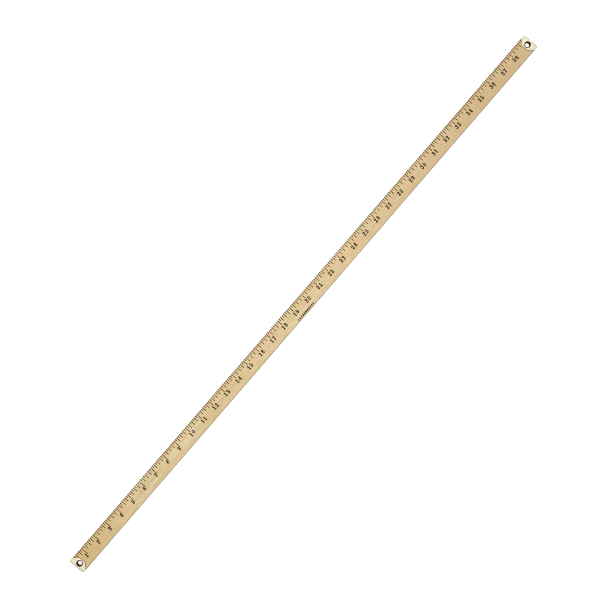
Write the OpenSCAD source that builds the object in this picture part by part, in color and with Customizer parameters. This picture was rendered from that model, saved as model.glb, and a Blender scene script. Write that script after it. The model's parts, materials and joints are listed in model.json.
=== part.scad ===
// Wooden metre stick with brass ends: inches on the front, centimetres and millimetres on the back.
// X is the reading along both scales, from the outer face of the zero end's cap. The inch face looks
// up (+Z) and its graduations start at the +Y edge. Z = 0 is the middle of the blade's thickness.

/* [Blade] */
// Length over the brass ends
rule_l = 1000; // [300:10:1000]
// Width across the face
rule_w = 26; // [25:0.5:30]
// Thickness of the wood
blade_t = 6.35; // [5.5:0.05:8]
// Radius of the four long arrises
arris_r = 1; // [0.5:0.1:1.5]

/* [End caps] */
// Thickness of the brass sheet
cap_t = 0.4; // [0.3:0.05:0.5]
// Outer radius of the two bends at the end
bend_r = 1.2; // [0.8:0.1:1.4]
// Strip of wood left bare along each long edge
cap_margin = 0.4; // [0.2:0.1:0.6]
// Length of a tongue's full-width part, where its slanted flanks start
cap_shoulder = 5.8; // [5.4:0.1:7]
// Reach of a tongue from the end of the rule to its tip
cap_reach = 13.2; // [13.2:0.1:14.5]
// Radius of the tongue's corners
cap_corner_r = 0.8; // [0.4:0.1:1.2]

/* [Hang holes] */
// Distance of a hang hole from the end of the rule
hole_inset = 7.4; // [7.2:0.1:7.6]
// Diameter of the opening through the eyelet
hole_d = 6.35; // [5:0.05:6.5]
// Diameter where the eyelet's flare meets its flange
flare_d = 8.8; // [8.4:0.1:9.2]
// Diameter of the eyelet's flange
flange_d = 10.8; // [10.4:0.1:11.2]
// Depth of the flare on each face
flare_depth = 2; // [1.5:0.1:2.2]
// Thickness of the eyelet's wall and flange
eyelet_t = 0.3; // [0.25:0.05:0.35]

/* [Printing] */
// Thickness of the printed ink
ink_t = 0.05; // [0.03:0.01:0.1]
// Width of an inch graduation
inch_tick_w = 0.95; // [0.4:0.05:1]
// Height of the inch numerals
inch_digit_h = 6.4; // [4.5:0.1:6.6]
// Width of a metric graduation
metric_tick_w = 0.3; // [0.2:0.01:0.35]
// Height of the centimetre numerals
metric_digit_h = 3.8; // [3:0.1:4.2]
// Length of the row of lozenges near mid-length
ornament_l = 35; // [20:1:50]
// Height of the row's middle lozenge
ornament_h = 4.2; // [2:0.1:4.6]

/* [Hidden] */
$fn = 48;

half_w = rule_w / 2;
cap_half_w = half_w - cap_margin;
face_z = blade_t / 2;
plate_z = face_z + cap_t;
flange_z = plate_z + eyelet_t;
inch = 25.4;
eighth = inch / 8;
// Long enough for a cut to pass right through the rule
through = 2 * rule_w;
// Overlap that leaves no skin between a cut and the surface it starts from
overlap = 0.01;

// Clearances round the eyelet, in the wood and in the brass
wood_gap = 0.1;
brass_gap = 0.1;

// Reach of the graduations, from the edge of the rule
eighth_reach = 4;
quarter_reach = 7.9;
inch_reach = 9.5;
low_inch_reach = 15.9;
mm_reach = 3.6;
half_cm_reach = 5.2;
cm_reach = 6.8;
// Shortest graduation that shows beside a cap
shortest_tick = 0.6;

// Distance of a numeral's top from the edge of the rule
inch_digit_top = 10.1;
metric_digit_top = 8.2;
// A two-digit number sits a little to the right of its inch, and a single digit to the left
pair_shift = 0.9;
single_shift = -2.8;
first_pair = 10;

// The ornament: its reading, its distance from the plain edge, the lozenges on each side of the middle
// one, and how much each lozenge outward shrinks
ornament_x = 0.494 * rule_l;
ornament_inset = 3.2;
side_lozenges = 5;
shrink = 0.04;

// The digits are drawn 100 units high on a baseline, with these strokes
em = 100;
thick = 25;
thin = 15;
bowl_side = 20;
ball_r = 12;
slab = 13;
digit_pitch = 82;
digit_w = 58;
// Segments in each span of a digit's curves
inch_digit_steps = 3;
metric_digit_steps = 1;

colour_wood = [0.86, 0.74, 0.55];
colour_brass = [0.93, 0.89, 0.72];
colour_eyelet = [0.72, 0.62, 0.36];
colour_ink = [0.2, 0.09, 0.05];

// ---- Shared shapes ----

// Points of an arc, round a centre, from one angle to another
function arc(x, y, r, from, to, steps = 6) =
    [for (i = [0 : steps]) let (a = from + (to - from) * i / steps) [x + r * cos(a), y + r * sin(a)]];

// A rectangle with rounded corners, centred
module round_rect(w, h, r) {
    square([w - 2 * r, h], center = true);
    square([w, h - 2 * r], center = true);
    for (sx = [-1, 1], sy = [-1, 1]) translate([sx * (w / 2 - r), sy * (h / 2 - r)]) circle(r);
}

// Turns a child that is drawn for the zero end round to the far end
module at_far_end() translate([rule_l, 0, 0]) mirror([1, 0, 0]) children();

// Turns a face's printing over to the back, about the rule's long axis
module on_back() rotate([180, 0, 0]) children();

// ---- Wood ----

module blade_stock() {
    translate([cap_t, 0, 0]) rotate([90, 0, 90])
        linear_extrude(rule_l - 2 * cap_t) round_rect(rule_w, blade_t, arris_r);
}

// Side view of the stock: its ends are chamfered to clear the bends of the caps
module end_chamfers() {
    c = bend_r;
    x0 = cap_t;
    x1 = rule_l - cap_t;
    rotate([90, 0, 0]) linear_extrude(through, center = true)
        polygon([[x0, face_z - c], [x0 + c, face_z], [x1 - c, face_z], [x1, face_z - c],
                 [x1, c - face_z], [x1 - c, -face_z], [x0 + c, -face_z], [x0, c - face_z]]);
}

// Drilled hole, countersunk from both faces to take the eyelet's flares
module wood_hole() {
    r_in = hole_d / 2 + eyelet_t + wood_gap;
    r_out = flare_d / 2 + wood_gap;
    cone_h = flare_depth - cap_t;
    translate([hole_inset, 0, 0]) {
        cylinder(h = through, r = r_in, center = true);
        for (side = [0, 1]) mirror([0, 0, side])
            translate([0, 0, face_z - cone_h]) cylinder(h = cone_h + overlap, r1 = r_in, r2 = r_out);
    }
}

module wooden_blade() {
    color(colour_wood) difference() {
        intersection() {
            blade_stock();
            end_chamfers();
        }
        wood_hole();
        at_far_end() wood_hole();
    }
}

// ---- Brass ----

// Half the tongue's width at a distance from the end of the rule
function tongue_half(x) =
    x > cap_reach ? 0 : min(cap_half_w, cap_half_w + cap_shoulder - x);

// Plan of the cap: square end, full-width shoulder, flanks at 45 degrees and a flat tip
module cap_plan() {
    r = cap_corner_r;
    tip = tongue_half(cap_reach);
    bevel = r * tan(22.5);
    polygon(concat(
        arc(r, r - cap_half_w, r, 180, 270),
        arc(cap_shoulder - bevel, r - cap_half_w, r, 270, 315, 3),
        arc(cap_reach - r, bevel - tip, r, 315, 360, 3),
        arc(cap_reach - r, tip - bevel, r, 0, 45, 3),
        arc(cap_shoulder - bevel, cap_half_w - r, r, 45, 90, 3),
        arc(r, cap_half_w - r, r, 90, 180)));
}

// Side view of the folded sheet, open towards +X and longer than the tongues
module cap_fold() {
    l = 2 * cap_reach;
    difference() {
        translate([l / 2, 0]) round_rect(l, 2 * plate_z, bend_r);
        translate([l / 2 + cap_t, 0]) round_rect(l, 2 * face_z, bend_r - cap_t);
    }
}

module end_cap() {
    color(colour_brass) difference() {
        intersection() {
            rotate([90, 0, 0]) linear_extrude(through, center = true) cap_fold();
            linear_extrude(through, center = true) cap_plan();
        }
        translate([hole_inset, 0, 0])
            cylinder(h = through, r = flare_d / 2 + eyelet_t + brass_gap, center = true);
    }
}

module zero_end_cap() end_cap();

module far_end_cap() at_far_end() end_cap();

// Upper half of the eyelet's section: throat, flare and flange, then back along the hidden side
function eyelet_half() = let (
        r = hole_d / 2,
        lip = flange_d / 2 - eyelet_t / 2,
        root_z = flange_z - flare_depth)
    concat(
        [[r, root_z], [flare_d / 2, flange_z]],
        arc(lip, flange_z - eyelet_t / 2, eyelet_t / 2, 90, -90, 4),
        [[flare_d / 2 + eyelet_t, plate_z], [r + eyelet_t, root_z - eyelet_t / 2]]);

module end_eyelet() {
    upper = eyelet_half();
    last = len(upper) - 1;
    lower = [for (i = [last : -1 : 0]) [upper[i][0], -upper[i][1]]];
    color(colour_eyelet) translate([hole_inset, 0, 0]) rotate_extrude() polygon(concat(upper, lower));
}

module zero_end_eyelet() end_eyelet();

module far_end_eyelet() at_far_end() end_eyelet();

// ---- Graduations ----

// One graduation at a reading, as far in from the edge as its reach, cut short by a cap
module tick(x, reach, w) {
    near = min(x, rule_l - x) - w / 2;
    outer = half_w - arris_r;
    inner = max(half_w - reach, tongue_half(near));
    if (outer - inner > shortest_tick)
        translate([x - w / 2, inner, face_z]) cube([w, outer - inner, ink_t]);
}

function inch_tick_reach(n) =
    n % 8 == 0 ? (n / 8 < first_pair ? low_inch_reach : inch_reach) :
    n % 2 == 0 ? quarter_reach : eighth_reach;

module inch_ticks() {
    color(colour_ink) for (n = [1 : floor(rule_l / eighth)])
        tick(n * eighth, inch_tick_reach(n), inch_tick_w);
}

function metric_tick_reach(n) = n % 10 == 0 ? cm_reach : n % 5 == 0 ? half_cm_reach : mm_reach;

module metric_ticks() {
    color(colour_ink) on_back() for (n = [1 : rule_l - 1])
        tick(n, metric_tick_reach(n), metric_tick_w);
}

// ---- Digits ----

// Point on a smooth curve through four nodes, between the second and the third
function between(a, b, c, d, t) =
    0.5 * (2 * b + (c - a) * t + (2 * a - 5 * b + 4 * c - d) * t * t
           + (3 * b - a - 3 * c + d) * t * t * t);

// Points along a smooth curve through all the nodes
function smooth(n) = let (last = len(n) - 1) concat(
    [for (i = [0 : last - 1], k = [0 : $steps - 1])
        between(n[max(i - 1, 0)], n[i], n[i + 1], n[min(i + 2, last)], k / $steps)],
    [n[last]]);

// Unit normal of a path at one of its points
function normal(p, i) = let (
        a = p[max(i - 1, 0)], b = p[min(i + 1, len(p) - 1)],
        dx = b[0] - a[0], dy = b[1] - a[1], l = norm([dx, dy]))
    [-dy / l, dx / l];

// One side of a pen stroke: side is 1 or -1
function stroke_side(p, side) =
    [for (i = [0 : len(p) - 1]) [p[i][0], p[i][1]] + side * p[i][2] / 2 * normal(p, i)];

// A pen stroke through nodes of [x, y, width]
module stroke(nodes) {
    p = smooth(nodes);
    back = stroke_side(p, -1);
    polygon(concat(stroke_side(p, 1), [for (i = [len(back) - 1 : -1 : 0]) back[i]]));
}

module ball(x, y) translate([x, y]) circle(ball_r);

// Points of an ellipse
function oval(x, y, rx, ry) = let (turn = 360 / (6 + 6 * $steps))
    [for (a = [turn / 2 : turn : 360]) [x + rx * cos(a), y + ry * sin(a)]];

// A closed bowl with thick sides and thin top and bottom
module bowl(x, y, rx, ry, side = bowl_side) {
    difference() {
        polygon(oval(x, y, rx, ry));
        polygon(oval(x, y, rx - side, ry - thin));
    }
}

module digit_0() bowl(digit_w / 2, em / 2, digit_w / 2, em / 2);

module digit_1() {
    x = digit_w / 2 - thick / 2;
    polygon([[x - 13, 0], [x + thick + 13, 0], [x + thick + 13, slab], [x + thick, slab], [x + thick, em],
             [x + 8, em], [x - 15, em - 14], [x - 15, em - 25], [x, em - 21], [x, slab], [x - 13, slab]]);
}

module digit_2() {
    ball(14, 72);
    stroke([[8, 73, 8], [9, 81, 10], [16, 90, thin], [30, em - thin / 2, thin + 1], [43, 84, thick - 4],
            [46, 70, thick], [40, 54, thick - 3], [27, 35, thin + 4], [14, 18, thin]]);
    polygon([[3, 0], [55, 0], [59, 32], [51, 32], [46, 22], [9.5, 23], [3, 14]]);
}

module digit_3() {
    ball(14, 76);
    ball(13, 24);
    stroke([[8, 77, 8], [10, 85, 10], [18, 91, thin], [30, em - thin / 2, thin], [42, 86, thick - 4],
            [45, 74, thick], [40, 61, thick - 6], [24, 53, thin - 3]]);
    stroke([[24, 53, thin - 3], [42, 45, thick - 4], [47, 29, thick + 1], [42, 14, thick - 4],
            [28, thin / 2, thin], [15, 9, thin], [8, 16, 10], [7, 23, 8]]);
}

module digit_4() {
    stem = 29;
    polygon([[stem, slab], [stem, em], [stem + thick, em], [stem + thick, slab], [stem + thick + 8, slab],
             [stem + thick + 8, 0], [stem - 10, 0], [stem - 10, slab]]);
    polygon([[0, 24], [60, 24], [60, 38], [16, 38], [stem + 3, 75], [stem + 3, em], [0, 35]]);
}

module digit_5() {
    ball(13, 24);
    polygon([[8, em], [53, em], [50, 79], [20, 79], [20, 46], [8, 46]]);
    stroke([[12, 47, 9], [22, 55, thin], [35, 57, thick - 6], [46, 45, thick - 1], [47, 28, thick],
            [40, 13, thick - 5], [27, thin / 2, thin], [15, 9, thin], [8, 16, 10], [7, 23, 8]]);
}

module digit_6() {
    side = 4 + bowl_side / 2;
    bowl(31, 32, 27, 32);
    ball(45, 77);
    stroke([[51, 78, 8], [49, 86, 10], [42, 92, thin], [31, em - thin / 2, thin + 1], [19, 81, thick - 4],
            [side, 60, bowl_side], [side, 32, bowl_side]]);
}

module digit_7() {
    polygon([[4, 66], [11, 66], [16, 79], [57, 79], [57, em], [4, em]]);
    stroke([[49, 88, thin], [40, 68, thin + 5], [30, 40, thick - 2], [27, 20, thick + 2], [27, 0, thick + 2]]);
}

module digit_8() {
    bowl(29, 73, 25.5, 27, bowl_side - 2);
    bowl(29, 28.5, 29, 28.5);
}

module digit_9() translate([digit_w, em]) rotate(180) digit_6();

module digit(d) {
    if (d == 0) digit_0();
    if (d == 1) digit_1();
    if (d == 2) digit_2();
    if (d == 3) digit_3();
    if (d == 4) digit_4();
    if (d == 5) digit_5();
    if (d == 6) digit_6();
    if (d == 7) digit_7();
    if (d == 8) digit_8();
    if (d == 9) digit_9();
}

// One printed digit, with its middle at x and its top at a distance from the edge
module printed_digit(d, x, top, h) {
    s = h / em;
    translate([x - s * digit_w / 2, half_w - top - h, face_z])
        linear_extrude(ink_t) scale([s, s]) digit(d);
}

// A number from 1 to 99, with its middle at x
module printed_number(n, x, top, h) {
    step = h * digit_pitch / em / 2;
    if (n < first_pair) printed_digit(n, x, top, h);
    else {
        printed_digit(floor(n / 10), x - step, top, h);
        printed_digit(n % 10, x + step, top, h);
    }
}

// Does a number of this half-length at x stay clear of both caps?
function clear_of_caps(x, half) = x - half > cap_reach && x + half < rule_l - cap_reach;

module inch_numerals() {
    $steps = inch_digit_steps;
    color(colour_ink) for (n = [1 : floor(rule_l / inch)]) {
        x = n * inch + (n < first_pair ? single_shift : pair_shift);
        if (clear_of_caps(x, inch_digit_h)) printed_number(n, x, inch_digit_top, inch_digit_h);
    }
}

module metric_numerals() {
    $steps = metric_digit_steps;
    color(colour_ink) on_back() for (n = [1 : rule_l / 10 - 1])
        if (clear_of_caps(n * 10, metric_digit_h / 2))
            printed_number(n, n * 10, metric_digit_top, metric_digit_h);
}

// ---- Ornament ----

module lozenge(x, w, h)
    translate([x, 0]) polygon([[-w / 2, 0], [0, -h / 2], [w / 2, 0], [0, h / 2]]);

// A row of lozenges, largest in the middle
module centre_ornament() {
    pitch = ornament_l / (2 * side_lozenges + 1);
    color(colour_ink) translate([ornament_x, ornament_inset - half_w, face_z]) linear_extrude(ink_t)
        for (i = [-side_lozenges : side_lozenges]) {
            size = 1 - shrink * abs(i);
            lozenge(i * pitch, pitch * size, ornament_h * size);
        }
}

wooden_blade();
zero_end_cap();
far_end_cap();
zero_end_eyelet();
far_end_eyelet();
inch_ticks();
inch_numerals();
centre_ornament();
metric_ticks();
metric_numerals();
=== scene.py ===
import json
import math
import random

import bmesh
import bpy
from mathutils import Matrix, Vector


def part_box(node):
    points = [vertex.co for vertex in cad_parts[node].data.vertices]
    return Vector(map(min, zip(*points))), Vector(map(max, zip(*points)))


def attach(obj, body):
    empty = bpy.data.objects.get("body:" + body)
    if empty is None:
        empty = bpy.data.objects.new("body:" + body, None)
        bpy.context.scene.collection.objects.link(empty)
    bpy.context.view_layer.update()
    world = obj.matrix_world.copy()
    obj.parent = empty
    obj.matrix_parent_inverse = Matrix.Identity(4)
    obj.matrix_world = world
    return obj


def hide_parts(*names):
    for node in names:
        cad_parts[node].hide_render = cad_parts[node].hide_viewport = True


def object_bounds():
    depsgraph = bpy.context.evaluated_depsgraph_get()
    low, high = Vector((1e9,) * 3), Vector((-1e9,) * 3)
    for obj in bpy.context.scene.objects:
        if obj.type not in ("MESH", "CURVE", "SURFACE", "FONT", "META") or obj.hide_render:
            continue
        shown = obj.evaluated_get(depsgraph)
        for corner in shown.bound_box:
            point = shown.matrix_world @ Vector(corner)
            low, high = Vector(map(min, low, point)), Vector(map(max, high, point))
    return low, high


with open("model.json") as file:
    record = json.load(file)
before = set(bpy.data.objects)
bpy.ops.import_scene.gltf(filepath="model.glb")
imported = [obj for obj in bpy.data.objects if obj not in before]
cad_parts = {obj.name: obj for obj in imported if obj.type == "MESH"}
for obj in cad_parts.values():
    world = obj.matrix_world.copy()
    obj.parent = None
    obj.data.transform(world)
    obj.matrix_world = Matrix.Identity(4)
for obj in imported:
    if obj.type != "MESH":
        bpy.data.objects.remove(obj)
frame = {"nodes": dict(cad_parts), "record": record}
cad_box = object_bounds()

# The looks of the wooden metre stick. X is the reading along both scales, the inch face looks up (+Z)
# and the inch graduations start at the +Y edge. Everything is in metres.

MM = 0.001
INCH = 25.4 * MM
SEED = 38


# ---- Places and sizes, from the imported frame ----

BLADE_LOW, BLADE_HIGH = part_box("wooden_blade")
CAP_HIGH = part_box("zero_end_cap")[1]
EYELET_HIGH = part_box("zero_end_eyelet")[1]
HANG_HOLE = next(m for m in frame["record"]["mounts"] if m["name"] == "zero_end_hang_hole")

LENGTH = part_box("far_end_cap")[1].x
HALF_W = BLADE_HIGH.y
FACE_Z = BLADE_HIGH.z
PLATE_Z = CAP_HIGH.z
SHEET = PLATE_Z - FACE_Z
CAP_HALF_W = CAP_HIGH.y
CAP_REACH = CAP_HIGH.x
FLANGE_Z = EYELET_HIGH.z
FLANGE_R = EYELET_HIGH.y
FLANGE_T = FLANGE_Z - PLATE_Z
HOLE_X = HANG_HOLE["pos_m"][0]
HOLE_R = HANG_HOLE["dims"]["r_mm"] * MM
THROAT_HALF = HANG_HOLE["dims"]["length_mm"] * MM / 2

# Shapes that the frame's boxes don't give
ARRIS_R = 1.0 * MM        # rounding of the wood's long edges
BEND_R = 1.2 * MM         # outer bend of the folded sheet
CORNER_R = 0.8 * MM       # rounding of the tongue's corners
CAP_SHOULDER = 5.8 * MM   # distance from the end to the tongue's 45 degree flanks
ROLL_W = 0.6 * MM         # width of the rolled edge of the sheet
ROLL_DEPTH = 0.05 * MM    # how far that edge is rolled down
FLARE_R = 4.4 * MM        # outer radius of the eyelet's dark flare
WOOD_GAP = 0.1 * MM       # clearance round the eyelet
INK = 0.05 * MM           # thickness of the print
AXIS_R = 0.0001 * MM      # radius at which a turned cutter is closed


# ---- Mesh helpers ----

def arc(x, y, r, start, end, steps):
    """Points on an arc, in degrees, both ends included."""
    angles = [math.radians(start + (end - start) * i / steps) for i in range(steps + 1)]
    return [(x + r * math.cos(a), y + r * math.sin(a)) for a in angles]


def mirrored(outline):
    """A (radius, z) outline for z above 0, closed by its own reflection below."""
    return outline + [(r, -z) for r, z in reversed(outline)]


def loft(rings, closed=False):
    """Vertices and faces of a skin over equal rings, closed into a loop or else capped at both ends."""
    count = len(rings[0])
    verts = [p for ring in rings for p in ring]
    faces = []
    spans = len(rings) if closed else len(rings) - 1
    for i in range(spans):
        near = i * count
        far = (i + 1) % len(rings) * count
        for k in range(count):
            n = (k + 1) % count
            faces.append((near + k, near + n, far + n, far + k))
    if not closed:
        faces.append(tuple(range(count)))
        faces.append(tuple(range(len(verts) - count, len(verts))))
    return verts, faces


def link_mesh(name, mesh):
    """Puts a mesh in the scene as an object."""
    piece = bpy.data.objects.new(name, mesh)
    bpy.context.scene.collection.objects.link(piece)
    return piece


def mesh_object(name, verts, faces):
    """A closed mesh object with its faces turned outward."""
    mesh = bpy.data.meshes.new(name)
    bm = bmesh.new()
    made = [bm.verts.new(v) for v in verts]
    for face in faces:
        bm.faces.new([made[i] for i in face])
    bmesh.ops.recalc_face_normals(bm, faces=bm.faces)
    bm.to_mesh(mesh)
    bm.free()
    return link_mesh(name, mesh)


def sheet_object(name, verts, faces):
    """An open sheet, with the faces as they are given."""
    mesh = bpy.data.meshes.new(name)
    mesh.from_pydata(verts, [], faces)
    return link_mesh(name, mesh)


def lathe(name, profile, x, steps=72):
    """Turns a closed (radius, z) outline round the vertical axis at x."""
    rings = []
    for i in range(steps):
        a = 2 * math.pi * i / steps
        rings.append([(x + r * math.cos(a), r * math.sin(a), z) for r, z in profile])
    return mesh_object(name, *loft(rings, closed=True))


def soften(piece, degrees=35):
    """Smooth shading, except across edges that turn by more than this angle."""
    piece.data.shade_smooth()
    piece.data.set_sharp_from_angle(angle=math.radians(degrees))


def apply_modifiers(piece):
    """Replaces the piece's mesh with the result of its modifiers."""
    depsgraph = bpy.context.evaluated_depsgraph_get()
    mesh = bpy.data.meshes.new_from_object(piece.evaluated_get(depsgraph))
    piece.modifiers.clear()
    piece.data = mesh


def cut(piece, cutter):
    """Takes the cutter's space out of the piece and removes the cutter."""
    modifier = piece.modifiers.new("cut", "BOOLEAN")
    modifier.operation = "DIFFERENCE"
    modifier.solver = "EXACT"
    modifier.object = cutter
    bpy.context.view_layer.update()
    apply_modifiers(piece)
    bpy.data.objects.remove(cutter)


def finish_piece(piece, node, material):
    """Gives a piece its material and puts it in the frame in place of a CAD node."""
    piece.data.materials.clear()
    piece.data.materials.append(material)
    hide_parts(node)
    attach(piece, "root")


# ---- Node material helper ----

class Graph:
    """Short calls for building one procedural material."""

    def __init__(self, name):
        self.material = bpy.data.materials.new(name)
        self.material.use_nodes = True
        self.tree = self.material.node_tree
        self.shader = self.tree.nodes["Principled BSDF"]
        self.place = self.node("ShaderNodeTexCoord").outputs["Object"]

    def set(self, socket, value):
        """Links another node's output or sets a plain value. A colour may leave out its alpha."""
        if isinstance(value, bpy.types.NodeSocket):
            self.tree.links.new(value, socket)
            return
        if socket.type == "RGBA" and len(value) == 3:
            value = (*value, 1.0)
        socket.default_value = value

    def fill(self, node, inputs):
        """Sets a node's inputs by name, with _ in place of a space."""
        for name, value in inputs.items():
            self.set(node.inputs[name.replace("_", " ")], value)

    def node(self, kind, **inputs):
        """A new node of this kind with its inputs set."""
        made = self.tree.nodes.new(kind)
        self.fill(made, inputs)
        return made

    def math(self, operation, a, b=0.0):
        made = self.tree.nodes.new("ShaderNodeMath")
        made.operation = operation
        self.set(made.inputs[0], a)
        self.set(made.inputs[1], b)
        return made.outputs[0]

    def xyz(self):
        """The three coordinates of a point on the piece."""
        made = self.node("ShaderNodeSeparateXYZ", Vector=self.place)
        return made.outputs[0], made.outputs[1], made.outputs[2]

    def vector(self, x, y, z):
        return self.node("ShaderNodeCombineXYZ", X=x, Y=y, Z=z).outputs[0]

    def noise(self, place, scale, detail=3.0, roughness=0.55):
        """Noise from 0 to 1, with a scale per axis in features per metre."""
        spread = self.tree.nodes.new("ShaderNodeVectorMath")
        spread.operation = "MULTIPLY"
        self.set(spread.inputs[0], place)
        self.set(spread.inputs[1], scale)
        made = self.node("ShaderNodeTexNoise", Vector=spread.outputs[0], Scale=1.0, Detail=detail,
                         Roughness=roughness)
        return made.outputs["Fac"]

    def step(self, value, low, high, to_low=0.0, to_high=1.0):
        """Smooth step of a value from one range to another."""
        made = self.tree.nodes.new("ShaderNodeMapRange")
        made.interpolation_type = "SMOOTHSTEP"
        for socket, v in zip(made.inputs, (value, low, high, to_low, to_high)):
            self.set(socket, v)
        return made.outputs[0]

    def mix(self, share, a, b):
        """A colour on the way from a to b."""
        made = self.tree.nodes.new("ShaderNodeMix")
        made.data_type = "RGBA"
        for i, v in ((0, share), (6, a), (7, b)):
            self.set(made.inputs[i], v)
        return made.outputs[2]

    def bump(self, height, depth, strength):
        """Height from 0 to 1 as a bump of this depth in metres."""
        made = self.node("ShaderNodeBump", Height=height, Strength=strength, Distance=depth)
        self.set(self.shader.inputs["Normal"], made.outputs[0])

    def finish(self, **inputs):
        """Sets the shader's inputs and gives back the material."""
        self.fill(self.shader, inputs)
        return self.material


# ---- Places on the face that the materials share ----

def end_distance(g, x):
    """Distance from the nearer end of the stick."""
    return g.math("MINIMUM", x, g.math("SUBTRACT", LENGTH, x))


def distance_past_cap(g, x, y):
    """How far a point on a face lies outside the tongue's outline, in metres."""
    from_end = end_distance(g, x)
    side = g.math("ABSOLUTE", y)
    diagonal = g.math("SUBTRACT", g.math("ADD", from_end, side), CAP_HALF_W + CAP_SHOULDER)
    past_flank = g.math("MULTIPLY", diagonal, math.sqrt(0.5))
    past_tip = g.math("SUBTRACT", from_end, CAP_REACH)
    return g.math("MAXIMUM", past_flank, past_tip)


# ---- Wood material ----

HONEY = (0.672, 0.508, 0.245)
CREAM = (0.825, 0.675, 0.403)
FIGURE = (0.47, 0.34, 0.15)
BLUSH = (0.76, 0.50, 0.285)
GOLD = (0.61, 0.455, 0.165)
FIBRE = (0.36, 0.22, 0.09)
FLECK = (0.30, 0.17, 0.07)
FAR_TAN = (0.54, 0.376, 0.182)
ZERO_TAN = (0.57, 0.41, 0.115)
# Painted shade for the rounded arrises, and a painted shadow with some dirt for the wood beside the caps
ARRIS_SHADE = (0.21, 0.195, 0.145)
CAP_SHADOW_AND_DIRT = (0.13, 0.09, 0.032)


def wood_patches(g, swapped, grain, streak):
    """Streaks and patches from honey to cream, with a darker figure, pink blushes and gold bands.

    The gold takes its place with x and y swapped, so that it doesn't repeat the blushes."""
    figure = g.noise(grain, (62, 1050, 700), detail=1, roughness=0.6)
    patch = g.noise(g.place, (7, 60, 60), detail=2)
    blush = g.noise(g.place, (30, 130, 130), detail=2)
    gold = g.noise(swapped, (150, 34, 150), detail=2)
    tone = g.math("ADD", g.math("MULTIPLY", streak, 0.62), g.math("MULTIPLY", patch, 0.38))
    colour = g.mix(g.step(tone, 0.30, 0.70), HONEY, CREAM)
    colour = g.mix(g.step(figure, 0.38, 0.66, 0.0, 0.50), colour, FIGURE)
    colour = g.mix(g.step(blush, 0.45, 0.68, 0.0, 0.60), colour, BLUSH)
    return g.mix(g.step(gold, 0.48, 0.70, 0.0, 0.52), colour, GOLD)


def wood_ends(g, colour, x):
    """The slow change of tone towards both ends of the stick."""
    far_tone = g.step(x, 0.55 * LENGTH, 0.97 * LENGTH, 0.0, 0.78)
    colour = g.mix(far_tone, colour, FAR_TAN)
    zero_tone = g.step(x, 0.0, 0.14 * LENGTH, 0.65, 0.0)
    return g.mix(zero_tone, colour, ZERO_TAN)


def wood_edge_shade(g, colour, x, y, z):
    """Painted shade on the rounded arrises, stronger near the ends, and a painted shadow with some dirt
    round each tongue, denser on its -Y side, away from the lamp.
    """
    # Painted shade: the rounded arrises are greyed, more so near the ends, for the shade they catch as they
    # turn away from the light
    by_edge = g.step(g.math("ABSOLUTE", y), HALF_W - 1.8 * MM, HALF_W - 0.3 * MM)
    by_face = g.step(g.math("ABSOLUTE", z), FACE_Z - 1.8 * MM, FACE_Z - 0.5 * MM)
    arris_shade_by_end = g.step(end_distance(g, x), 12 * MM, 50 * MM, 0.88, 0.62)
    arris = g.math("MULTIPLY", g.math("MULTIPLY", by_edge, by_face), arris_shade_by_end)
    colour = g.mix(arris, colour, ARRIS_SHADE)
    # Painted shadow with some dirt: a dark line on the wood just past each tongue's raised edge, denser on
    # the -Y side, away from the lamp
    shadow_density = g.step(y, -2 * MM, 4 * MM, 0.95, 0.65)
    cap_shadow_and_dirt = g.step(distance_past_cap(g, x, y), 0.2 * MM, 1.3 * MM, shadow_density, 0.0)
    on_face = g.step(g.math("ABSOLUTE", z), FACE_Z - 1.6 * MM, FACE_Z - 0.2 * MM, 0.2, 1.0)
    return g.mix(g.math("MULTIPLY", cap_shadow_and_dirt, on_face), colour, CAP_SHADOW_AND_DIRT)


def wood_material():
    """Pale lacquered hardwood: fine wavy grain along X, short flecks, patches of tone, painted shade on the
    arrises and a painted shadow, with some dirt, round the caps.
    """
    g = Graph("lacquered_hardwood")
    x, y, z = g.xyz()
    sway = g.math("MULTIPLY", g.noise(g.place, (5, 30, 30), detail=1), 5 * MM)
    grain = g.vector(x, g.math("ADD", y, sway), z)
    streak = g.noise(grain, (9, 560, 300), detail=4, roughness=0.6)
    fibre = g.noise(grain, (60, 4200, 2500), detail=2)
    fleck = g.step(g.noise(grain, (260, 2500, 1800), detail=1), 0.60, 0.72)

    colour = wood_patches(g, g.vector(y, x, z), grain, streak)
    colour = g.mix(g.step(fibre, 0.35, 0.75, 0.0, 0.14), colour, FIBRE)
    colour = g.mix(g.math("MULTIPLY", fleck, 0.25), colour, FLECK)
    colour = wood_ends(g, colour, x)
    colour = wood_edge_shade(g, colour, x, y, z)

    relief = g.math("SUBTRACT", g.math("MULTIPLY", fibre, 0.5), fleck)
    g.bump(relief, 0.02 * MM, 0.5)
    gloss = g.step(streak, 0.3, 0.7, 0.34, 0.46)
    return g.finish(Base_Color=colour, Roughness=gloss, Coat_Weight=0.25, Coat_Roughness=0.16)


# ---- Brass materials ----

SHEET_BRASS = (0.90, 0.83, 0.63)
SHEET_CLOUD = (0.76, 0.69, 0.49)
SHEET_SCRATCH = (0.45, 0.38, 0.20)
# Painted highlight along the outline, and painted shade in the bends
SHEET_EDGE_HIGHLIGHT = (0.94, 0.88, 0.69)
SHEET_BEND_SHADE = (0.12, 0.11, 0.07)
FLANGE_BRASS = (0.90, 0.82, 0.58)
FLANGE_CLOUD = (0.76, 0.70, 0.46)
# Painted shade, near black, for the inside of the eyelet's flare and throat
FLARE_SHADE = (0.016, 0.012, 0.003)
FLARE_SHADE_RING = (0.055, 0.042, 0.014)


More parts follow.
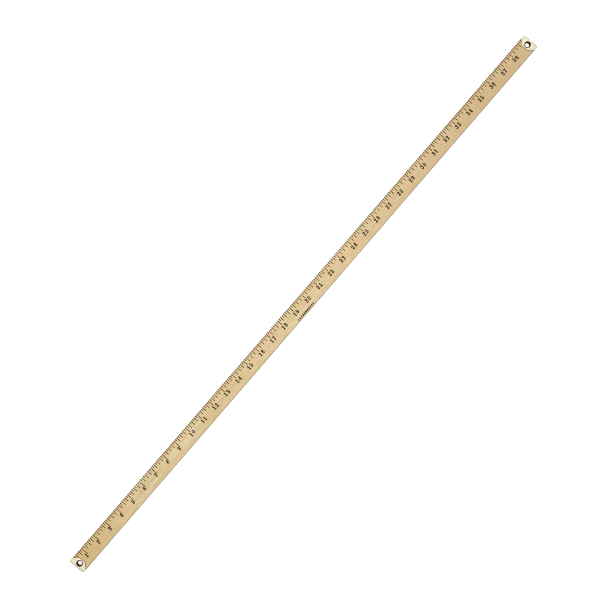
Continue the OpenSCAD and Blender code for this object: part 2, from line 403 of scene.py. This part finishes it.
def brass_material():
    """Pale bright sheet brass: softly brushed and cloudy, with a painted highlight along its outline and
    painted shade in its bends.
    """
    g = Graph("sheet_brass")
    x, y, z = g.xyz()
    brushed = g.noise(g.place, (900, 9000, 9000), detail=2)
    cloud = g.noise(g.place, (260, 260, 260), detail=3)
    scratch = g.step(g.noise(g.place, (5200, 420, 5200), detail=1), 0.66, 0.72)
    colour = g.mix(g.step(cloud, 0.35, 0.70), SHEET_BRASS, SHEET_CLOUD)
    colour = g.mix(g.math("MULTIPLY", scratch, 0.35), colour, SHEET_SCRATCH)
    # Painted highlight: a lighter band just inside the outline, where the rolled edge catches the light
    edge_highlight = g.step(distance_past_cap(g, x, y), -1.3 * MM, -0.3 * MM)
    colour = g.mix(edge_highlight, colour, SHEET_EDGE_HIGHLIGHT)

    # Painted shade: the outer bend is darkened, standing in for the dark surroundings it reflects and the
    # shade it catches
    below = g.math("SUBTRACT", PLATE_Z, g.math("ABSOLUTE", z))
    off_face = g.step(below, 0.015 * MM, 0.1 * MM)
    in_bend = g.step(below, BEND_R, 2 * BEND_R, 1.0, 0.35)
    bend_shade = g.math("MULTIPLY", off_face, in_bend)
    colour = g.mix(g.math("MULTIPLY", bend_shade, 0.9), colour, SHEET_BEND_SHADE)
    gloss = g.math("ADD", g.step(cloud, 0.3, 0.7, 0.20, 0.36), g.math("MULTIPLY", brushed, 0.12))
    gloss = g.math("ADD", gloss, g.math("MULTIPLY", bend_shade, 0.12))
    g.bump(brushed, 0.01 * MM, 0.35)
    return g.finish(Base_Color=colour, Metallic=1.0, Roughness=gloss)


def eyelet_material():
    """Bright brass on the flange that turns to a near-black painted shade down the flare and the throat,
    for the shade and dark reflections inside the hole.
    """
    g = Graph("eyelet_brass")
    stored = g.node("ShaderNodeAttribute")
    stored.attribute_name = "flare_shade"
    flare_shade = stored.outputs["Fac"]
    cloud = g.noise(g.place, (700, 700, 700), detail=3)
    ring = g.noise(g.place, (300, 300, 5200), detail=2)
    bright = g.mix(g.step(cloud, 0.35, 0.70), FLANGE_BRASS, FLANGE_CLOUD)
    # Painted shade: near-black, barely metallic brass down the flare and the throat, for the shade and dark
    # reflections inside the hole
    dark = g.mix(g.step(ring, 0.35, 0.65), FLARE_SHADE, FLARE_SHADE_RING)
    gloss = g.math("ADD", g.math("MULTIPLY", flare_shade, 0.25), g.step(cloud, 0.3, 0.7, 0.20, 0.34))
    metal = g.math("SUBTRACT", 1.0, g.math("MULTIPLY", flare_shade, 0.8))
    g.bump(cloud, 0.02 * MM, 0.3)
    return g.finish(Base_Color=g.mix(flare_shade, bright, dark), Metallic=metal, Roughness=gloss,
                    Specular_IOR_Level=0.2)


# ---- Ink material ----

INK_BROWN = (0.030, 0.008, 0.003)
INK_WORN = (0.14, 0.06, 0.025)


def ink_material():
    """Dark brown printing ink, a little worn and uneven."""
    g = Graph("printing_ink")
    wear = g.noise(g.place, (900, 900, 900), detail=3)
    grain = g.noise(g.place, (150, 3200, 3200), detail=2)
    worn = g.math("MULTIPLY", g.step(wear, 0.50, 0.75), g.step(grain, 0.45, 0.7))
    colour = g.mix(g.math("MULTIPLY", worn, 0.6), INK_BROWN, INK_WORN)
    gloss = g.step(wear, 0.3, 0.7, 0.45, 0.6)
    return g.finish(Base_Color=colour, Roughness=gloss, Specular_IOR_Level=0.05)


# ---- Wood ----

def blade_outline():
    """The rounded section: (y, z, corner number, share of the dents that reach the point)."""
    steps = 6
    points = []
    for corner, (side, face) in enumerate(((1, 1), (-1, 1), (-1, -1), (1, -1))):
        bend = arc(side * (HALF_W - ARRIS_R), face * (FACE_Z - ARRIS_R), ARRIS_R,
                   90 * corner, 90 * corner + 90, steps)
        for k, (y, z) in enumerate(bend):
            points.append((y, z, corner, math.sin(math.pi * k / steps)))
    return points


def arris_dents():
    """Small knocks along the arrises: (corner, x, half length, depth)."""
    count = 70
    rng = random.Random(SEED)
    return [(rng.randrange(4), rng.uniform(0.02, 0.98) * LENGTH, rng.uniform(1.2, 4.5) * MM,
             rng.uniform(0.04, 0.16) * MM) for _ in range(count)]


def dent_depth(dents, corner, x):
    """How deep one corner is knocked in at x."""
    depth = 0.0
    for at, centre, half, deep in dents:
        reach = (x - centre) / half
        if at == corner and abs(reach) < 1:
            depth += deep * (1 - reach * reach) ** 2
    return depth


def blade_ring(x, outline, dents, chamfer):
    """One section of the blade, with its faces drawn in by the chamfer."""
    ring = []
    for y, z, corner, share in outline:
        inward = dent_depth(dents, corner, x) * share * math.sqrt(0.5)
        ring.append((x, y - math.copysign(inward, y), z - math.copysign(inward + chamfer, z)))
    return ring


def hole_cutter(x):
    """The drilled hole in the wood, countersunk from both faces."""
    throat = HOLE_R + FLANGE_T + WOOD_GAP
    mouth = FLARE_R + WOOD_GAP
    cone_z = THROAT_HALF - SHEET + FLANGE_T / 2
    above = 2 * FACE_Z
    outline = [(throat, cone_z), (mouth, FACE_Z), (mouth, above), (AXIS_R, above)]
    return lathe("cutter", mirrored(outline), x, steps=48)


def build_blade(material):
    """The lath, with a section about every 2 mm and its ends chamfered to fit the caps' bends."""
    outline = blade_outline()
    dents = arris_dents()
    low = BLADE_LOW.x
    high = BLADE_HIGH.x
    straight = high - low - 2 * BEND_R
    count = round(straight / (2 * MM))
    rings = [blade_ring(low, outline, dents, BEND_R)]
    for i in range(count + 1):
        rings.append(blade_ring(low + BEND_R + straight * i / count, outline, dents, 0.0))
    rings.append(blade_ring(high, outline, dents, BEND_R))
    blade = mesh_object("lacquered_blade", *loft(rings))
    for x in (HOLE_X, LENGTH - HOLE_X):
        cut(blade, hole_cutter(x))
    soften(blade)
    finish_piece(blade, "wooden_blade", material)


# ---- Brass caps ----

def corner_rise(offset):
    """Height of a rounded corner above its centre, at this offset from the centre."""
    return math.sqrt(max(CORNER_R ** 2 - offset ** 2, 0.0))


def tongue_half(x):
    """Half the tongue's width at a distance from the end, with its rounded corners."""
    bevel = CORNER_R * math.tan(math.radians(22.5))
    corner = CORNER_R * math.sqrt(0.5)
    tip = CAP_HALF_W + CAP_SHOULDER - CAP_REACH
    if x < CORNER_R:
        return CAP_HALF_W - CORNER_R + corner_rise(CORNER_R - x)
    if x < CAP_SHOULDER - bevel:
        return CAP_HALF_W
    if x < CAP_SHOULDER - bevel + corner:
        return CAP_HALF_W - CORNER_R + corner_rise(x - CAP_SHOULDER + bevel)
    if x < CAP_REACH - CORNER_R + corner:
        return CAP_HALF_W + CAP_SHOULDER - x
    return tip - bevel + corner_rise(x - CAP_REACH + CORNER_R)


def cap_path():
    """The folded strip's outer line as (x, z), from the front tip round the end to the back tip."""
    near_tip = [0.0, 0.1, 0.25, 0.5, 0.8, 1.2, 1.8]
    flat = [CAP_REACH - s * MM for s in near_tip]
    row_gap = 0.4 * MM
    x = flat[-1] - 1.5 * row_gap
    while x > BEND_R + 0.75 * row_gap:
        flat.append(x)
        x -= row_gap
    front = [(x, PLATE_Z) for x in flat]
    bend = arc(BEND_R, PLATE_Z - BEND_R, BEND_R, 90, 180, 8)
    wall = [(0.0, 0.4 * PLATE_Z), (0.0, 0.0)]
    upper = front + bend + wall
    return upper + [(x, -z) for x, z in reversed(upper[:-1])]


def cap_row(x, z):
    """Points across the strip, with its free edges rolled down towards the wood."""
    half = tongue_half(x)
    near_edge = [0.0, 0.12 * MM, 0.3 * MM, ROLL_W]
    inner = half - ROLL_W
    ys = [half - s for s in near_edge] + [inner * (1 - k / 6) for k in range(1, 7)]
    ys += [-y for y in reversed(ys[:-1])]
    on_face = abs(z) > PLATE_Z - BEND_R
    row = []
    for y in ys:
        to_edge = min(half - abs(y), CAP_REACH - x)
        roll = ROLL_DEPTH * max(0.0, 1 - to_edge / ROLL_W) ** 2 if on_face else 0.0
        row.append((x, y, z - math.copysign(roll, z)))
    return row


def folded_sheet(name, far):
    """The cap's outer surface as an open sheet, at the zero end or the far end."""
    rows = [cap_row(x, z) for x, z in cap_path()]
    if far:
        rows = [[(LENGTH - x, y, z) for x, y, z in row] for row in rows]
    count = len(rows[0])
    verts = [p for row in rows for p in row]
    faces = [(i * count + k, (i + 1) * count + k, (i + 1) * count + k + 1, i * count + k + 1)
             for i in range(len(rows) - 1) for k in range(count - 1)]
    if far:
        faces = [tuple(reversed(f)) for f in faces]
    return sheet_object(name, verts, faces)


def thicken(cap):
    """Gives the sheet its thickness, inwards, and rounds its cut edges."""
    sheet = cap.modifiers.new("sheet", "SOLIDIFY")
    sheet.thickness = SHEET
    sheet.offset = -1
    sheet.use_even_offset = True
    edge = cap.modifiers.new("edge", "BEVEL")
    edge.width = 0.09 * MM
    edge.segments = 2
    edge.limit_method = "ANGLE"
    edge.angle_limit = math.radians(50)
    apply_modifiers(cap)


def build_cap(name, node, material, far=False):
    """The cap of one end, with the eyelet's hole through both of its tongues."""
    cap = folded_sheet(name, far)
    thicken(cap)
    x = LENGTH - HOLE_X if far else HOLE_X
    r = FLARE_R + FLANGE_T + WOOD_GAP
    above = 2 * PLATE_Z
    cut(cap, lathe("cutter", mirrored([(r, above), (AXIS_R, above)]), x))
    soften(cap)
    finish_piece(cap, node, material)


# ---- Eyelets ----

def flare_curve(fillet):
    """The inner wall from the throat up to the fillet, opening faster towards the top."""
    steps = 8
    wall = []
    for k in range(steps + 1):
        t = k / steps
        r = HOLE_R + (FLARE_R - fillet - HOLE_R) * (0.35 * t + 0.65 * t ** 2.2)
        z = THROAT_HALF + (FLANGE_Z - fillet - THROAT_HALF) * t
        wall.append((r, z))
    return wall


def eyelet_outline():
    """Upper half of the eyelet's section, from the throat up the flare and back along the hidden side."""
    rim_r = FLANGE_T / 2
    fillet = 0.35 * MM
    throat = [(HOLE_R, 0.5 * THROAT_HALF)]
    crest = arc(FLARE_R, FLANGE_Z - fillet, fillet, 160, 90, 5)
    rim = arc(FLANGE_R - rim_r, FLANGE_Z - rim_r, rim_r, 90, -90, 6)
    hidden = [(FLARE_R + FLANGE_T, PLATE_Z), (HOLE_R + FLANGE_T, THROAT_HALF - rim_r)]
    return throat + flare_curve(fillet) + crest + rim + hidden


def mark_flare_shade(piece, x):
    """Stores how much painted shade each point takes: none on the flange, full down the flare and the
    throat.
    """
    fade = 0.3 * MM
    values = []
    for v in piece.data.vertices:
        r = math.hypot(v.co.x - x, v.co.y)
        values.append(1.0 - min(max((r - FLARE_R) / fade - 0.5, 0.0), 1.0))
    flare_shade = piece.data.attributes.new("flare_shade", "FLOAT", "POINT")
    flare_shade.data.foreach_set("value", values)


def build_eyelet(name, node, x, material):
    """The flared eyelet round the hang hole at x."""
    eyelet = lathe(name, mirrored(eyelet_outline()), x)
    mark_flare_shade(eyelet, x)
    soften(eyelet)
    finish_piece(eyelet, node, material)


# ---- Printing ----

def islands(bm):
    """The points of each separate shell of a mesh."""
    seen = set()
    for start in bm.verts:
        if start in seen:
            continue
        seen.add(start)
        points = []
        stack = [start]
        while stack:
            v = stack.pop()
            points.append(v.co.copy())
            for e in v.link_edges:
                other = e.other_vert(v)
                if other not in seen:
                    seen.add(other)
                    stack.append(other)
        yield points


def printed_ticks(node, edge):
    """The graduations of a CAD node in order of x: (low x, high x, inner y), with y towards their edge."""
    bm = bmesh.new()
    bm.from_mesh(frame["nodes"][node].data)
    bmesh.ops.remove_doubles(bm, verts=bm.verts, dist=0.001 * MM)
    found = []
    for points in islands(bm):
        xs = [p.x for p in points]
        found.append((min(xs), max(xs), min(edge * p.y for p in points)))
    bm.free()
    return sorted(found)


def tick_path(inner, first_angle=0.0):
    """From a graduation's inner end, if it has one, down the arris: (y, z, normal y, normal z)."""
    last_angle = 72.0
    steps = 5
    path = [] if inner is None else [(inner, FACE_Z, 0.0, 1.0)]
    for k in range(steps + 1):
        a = math.radians(first_angle + (last_angle - first_angle) * k / steps)
        ny = math.sin(a)
        nz = math.cos(a)
        path.append((HALF_W - ARRIS_R + ARRIS_R * ny, FACE_Z - ARRIS_R + ARRIS_R * nz, ny, nz))
    return path


def tick_skin(x0, x1, path):
    """A strip of ink that follows the path, as a closed skin."""
    rings = []
    for y, z, ny, nz in path:
        top = (y + ny * INK, z + nz * INK)
        rings.append([(x0, y, z), (x1, y, z), (x1, *top), (x0, *top)])
    return loft(rings)


def tick_skins(ticks, edge_marks, rng):
    """All strips: the graduations, and the marks of which only the arris shows beside a cap."""
    skins = []
    for x0, x1, inner in ticks:
        spread = (x1 - x0) * rng.uniform(-0.06, 0.06)
        skins.append(tick_skin(x0 - spread, x1 + spread, tick_path(inner)))
    half = (ticks[-1][1] - ticks[-1][0]) / 2
    under_cap = math.degrees(math.asin((CAP_HALF_W - HALF_W + ARRIS_R) / ARRIS_R))
    for x in edge_marks:
        skins.append(tick_skin(x - half, x + half, tick_path(None, under_cap)))
    return skins


def build_ticks(name, node, material, back=False, edge_marks=()):
    """The graduations of a CAD node, run on over the arris to the edge as the real print is."""
    rng = random.Random(SEED + len(name))
    ticks = printed_ticks(node, -1 if back else 1)
    verts = []
    faces = []
    for skin_verts, skin_faces in tick_skins(ticks, edge_marks, rng):
        faces += [tuple(i + len(verts) for i in face) for face in skin_faces]
        verts += skin_verts
    if back:
        verts = [(x, -y, -z) for x, y, z in verts]
    piece = mesh_object(name, verts, faces)
    soften(piece, 40)
    finish_piece(piece, node, material)


def print_on_node(node, material):
    """A CAD node whose shape is right keeps it and takes the ink."""
    mesh = frame["nodes"][node].data
    mesh.materials.clear()
    mesh.materials.append(material)


# ---- Studio ----

def floor_material():
    """Pale floor that the camera sees almost without shadows, as on a light table."""
    glow = 0.75
    material = bpy.data.materials.new("pale_floor")
    material.use_nodes = True
    tree = material.node_tree
    shader = tree.nodes["Principled BSDF"]
    shader.inputs["Base Color"].default_value = (0.82, 0.82, 0.81, 1.0)
    shader.inputs["Roughness"].default_value = 0.9
    shader.inputs["Emission Color"].default_value = (1.0, 1.0, 0.99, 1.0)
    sight = tree.nodes.new("ShaderNodeLightPath").outputs["Is Camera Ray"]
    seen_glow = tree.nodes.new("ShaderNodeMath")
    seen_glow.operation = "MULTIPLY"
    seen_glow.inputs[1].default_value = glow
    tree.links.new(sight, seen_glow.inputs[0])
    tree.links.new(seen_glow.outputs[0], shader.inputs["Emission Strength"])
    return material


def build_floor():
    """A square floor under the middle of the stick, far wider than the view."""
    half = 6.0
    z = cad_box[0].z
    centre = LENGTH / 2
    corners = [(centre - half, -half, z), (centre + half, -half, z), (centre + half, half, z),
               (centre - half, half, z)]
    floor = sheet_object("floor", corners, [(0, 1, 2, 3)])
    floor.data.materials.append(floor_material())


def build_world():
    """Soft white surroundings, brighter overhead than at the horizon, and plain white to the camera."""
    horizon_z = 0.45
    overhead_z = 0.9
    horizon = 0.45
    overhead = 1.0
    world = bpy.data.worlds.new("studio")
    bpy.context.scene.world = world
    world.use_nodes = True
    tree = world.node_tree
    background = tree.nodes["Background"]
    direction = tree.nodes.new("ShaderNodeSeparateXYZ")
    tree.links.new(tree.nodes.new("ShaderNodeTexCoord").outputs["Generated"], direction.inputs[0])
    height = tree.nodes.new("ShaderNodeMapRange")
    for socket, value in zip(height.inputs[1:5], (horizon_z, overhead_z, horizon, overhead)):
        socket.default_value = value
    tree.links.new(direction.outputs["Z"], height.inputs[0])
    sight = tree.nodes.new("ShaderNodeLightPath").outputs["Is Camera Ray"]
    brightness = tree.nodes.new("ShaderNodeMath")
    brightness.operation = "MAXIMUM"
    tree.links.new(height.outputs[0], brightness.inputs[0])
    tree.links.new(sight, brightness.inputs[1])
    background.inputs["Color"].default_value = (1.0, 1.0, 1.0, 1.0)
    tree.links.new(brightness.outputs[0], background.inputs["Strength"])


def build_softbox():
    """One large soft lamp on the +Y side, past the middle of the stick."""
    light = bpy.data.lights.new("softbox", "AREA")
    light.shape = "SQUARE"
    light.size = 1.8
    light.energy = 32
    lamp = bpy.data.objects.new("softbox", light)
    lamp.location = (LENGTH / 2 + 0.6, 1.6, 1.25)
    aim = Vector((LENGTH / 2, 0.0, 0.0)) - lamp.location
    lamp.rotation_euler = aim.to_track_quat("-Z", "Y").to_euler()
    bpy.context.scene.collection.objects.link(lamp)


def build_camera():
    """Straight above the middle, with the stick rising from lower left to upper right."""
    height = 1.6
    field = 0.874
    tilt = math.radians(49.19)
    camera = bpy.data.cameras.new("camera")
    camera.lens = camera.sensor_width * height / field
    camera.clip_start = 0.05
    eye = bpy.data.objects.new("camera", camera)
    eye.location = (LENGTH / 2 + 0.4 * MM, -0.5 * MM, PLATE_Z + height)
    eye.rotation_euler = (0.0, 0.0, -tilt)
    bpy.context.scene.collection.objects.link(eye)
    bpy.context.scene.camera = eye


def build_studio():
    build_floor()
    build_world()
    build_softbox()
    build_camera()
    scene = bpy.context.scene
    scene.view_settings.view_transform = "Standard"
    # Denoising and a wide filter both smear print and grain as fine as this
    scene.cycles.use_denoising = False
    scene.cycles.filter_width = 1.0


# ---- The stick ----

def build_stick():
    brass = brass_material()
    eyelet = eyelet_material()
    ink = ink_material()
    build_blade(wood_material())
    build_cap("zero_end_brass", "zero_end_cap", brass)
    build_cap("far_end_brass", "far_end_cap", brass, far=True)
    build_eyelet("zero_end_rivet", "zero_end_eyelet", HOLE_X, eyelet)
    build_eyelet("far_end_rivet", "far_end_eyelet", LENGTH - HOLE_X, eyelet)
    # These two lie beside the tongues, so only their ends show
    quarter = INCH / 4
    last_eighth = math.floor(LENGTH / INCH * 8) * INCH / 8
    build_ticks("inch_graduations", "inch_ticks", ink, edge_marks=(quarter, last_eighth))
    build_ticks("metric_graduations", "metric_ticks", ink, back=True)
    for node in ("inch_numerals", "centre_ornament", "metric_numerals"):
        print_on_node(node, ink)


build_stick()
build_studio()
